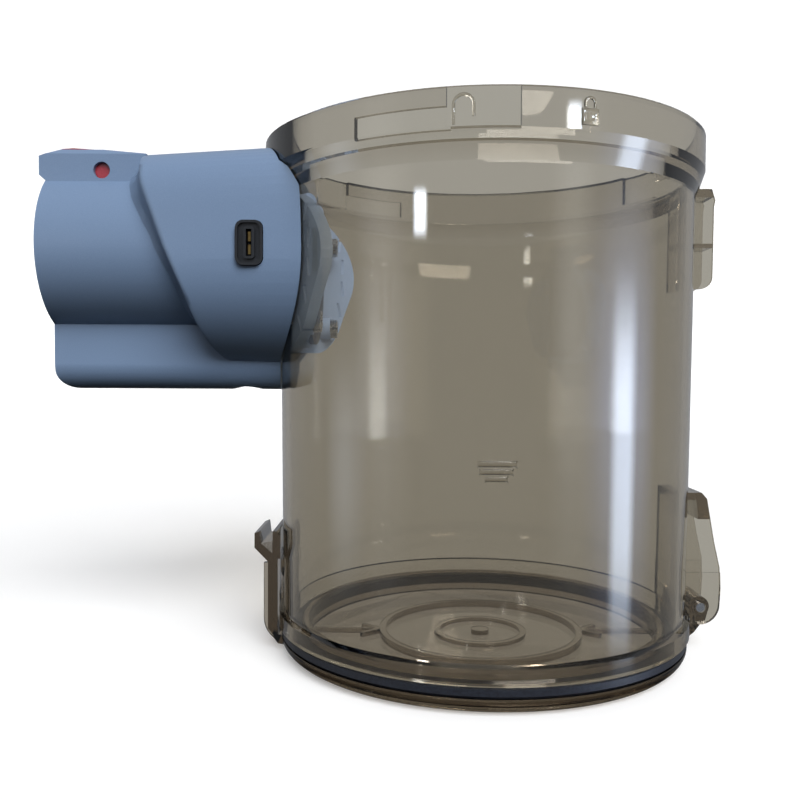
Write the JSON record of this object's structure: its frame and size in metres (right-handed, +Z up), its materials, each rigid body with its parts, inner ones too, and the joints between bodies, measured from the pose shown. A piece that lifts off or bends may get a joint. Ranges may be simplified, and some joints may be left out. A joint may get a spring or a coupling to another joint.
{
  "type": "vacuum dust bin",
  "caption": "Clear dust cup of a stick vacuum with a bayonet collar, a sealed lid that hinges open at its foot, and a side wand coupling with a release button.",
  "frame": {"origin": "on the cup's axis, on the underside of the lid that the bin stands on", "axes": "+Z up along the cup's axis to its open mouth, -X out along the wand coupling, +X to the lid's hinge"},
  "size_m": [0.1724, 0.1102, 0.1294],
  "materials": {
    "smoke_polycarbonate": "clear smoke brown, polished",
    "seal_rubber": "blue black silicone",
    "steel": "bright zinc",
    "satin_abs": "satin blue grey",
    "red_pom": "satin red",
    "black_nylon": "fine grain",
    "contact_brass": "plated",
    "lead_pvc": "smooth sheath"
  },
  "bodies": {
    "cup": {"bin_shell": "smoke_polycarbonate", "hinge_pin": "steel", "inlet_housing": "satin_abs", "port_ring": "satin_abs", "port_gasket": "seal_rubber", "port_screws": "steel", "flap_pin": "steel", "wand_seal": "seal_rubber", "button_spring": "steel", "side_socket": "black_nylon", "socket_contacts": "contact_brass", "contact_block": "black_nylon", "contact_pins": "contact_brass", "contact_leads": "lead_pvc", "under_cover": "satin_abs", "cover_screws": "steel"},
    "lid": {"bottom_lid": "smoke_polycarbonate", "lid_seal": "seal_rubber"},
    "button": {"release_button": "red_pom"},
    "flap": {"inlet_flap": "seal_rubber"}
  },
  "joints": [
    {"name": "lid_hinge", "type": "hinge", "parent": "cup", "child": "lid", "pos_m": [0.0563, 0, 0.0114], "axis": [0, -1, 0], "range_deg": [0, 95]},
    {"name": "release_rocker", "type": "hinge", "parent": "cup", "child": "button", "pos_m": [-0.0956, 0, 0.1213], "axis": [0, -1, 0], "range_deg": [0, 7], "stiffness_Nm_per_rad": 0.18, "springref_deg": -5.73, "deforming": ["button_spring"]},
    {"name": "inlet_flap_hinge", "type": "hinge", "parent": "cup", "child": "flap", "pos_m": [-0.0451, 0, 0.115], "axis": [0, -1, 0], "range_deg": [0, 60]}
  ]
}
